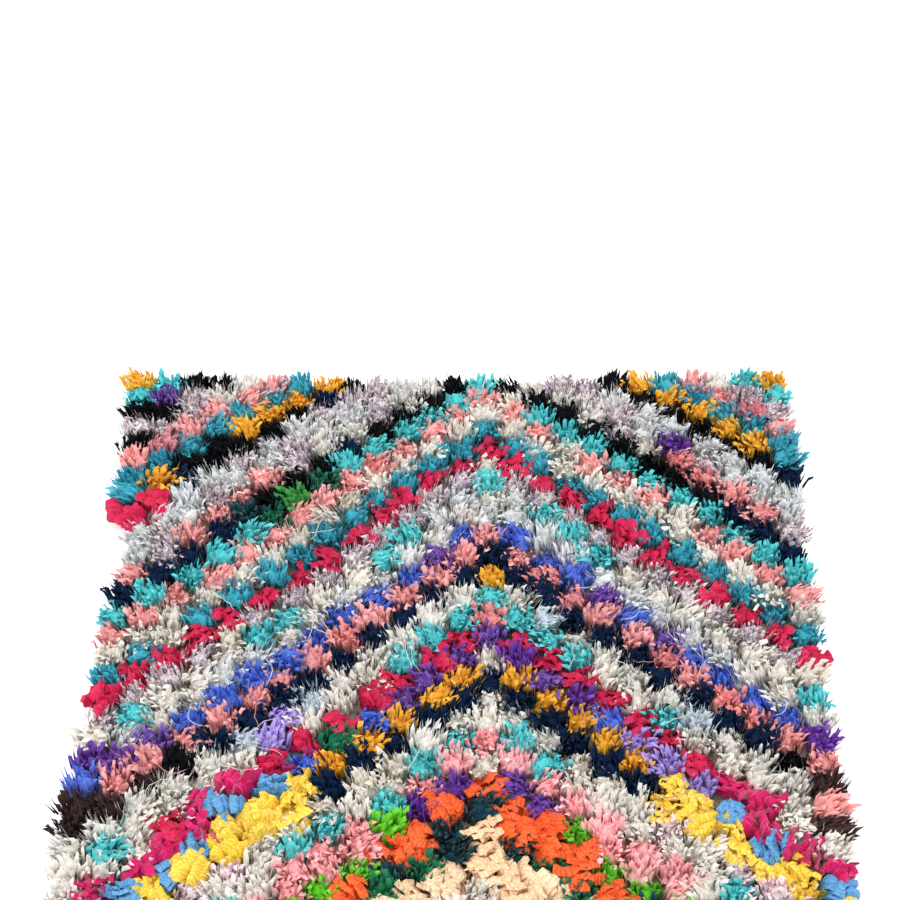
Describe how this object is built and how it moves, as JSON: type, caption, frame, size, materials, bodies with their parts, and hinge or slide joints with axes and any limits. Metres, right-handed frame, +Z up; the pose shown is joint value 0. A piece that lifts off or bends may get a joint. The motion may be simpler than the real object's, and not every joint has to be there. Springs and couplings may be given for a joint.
{
  "type": "boucherouite rug",
  "caption": "Shaggy knotted rag-pile rug lying flat, with a lumpy top, a flat underside and locks of rag round its rim.",
  "frame": {"origin": "middle of the flat underside, on the floor", "axes": "+Y along the rug's length, towards the end that lies furthest away in the picture; +X across it, to the right in the picture; +Z up out of the pile"},
  "size_m": [1.1874, 2.315, 0.042],
  "materials": {
    "rag_pile": "matt mixed cotton rags, knotted in bands of colour that nest as lozenges"
  },
  "bodies": {
    "root": {"rag_pile": "rag_pile"}
  },
  "joints": []
}
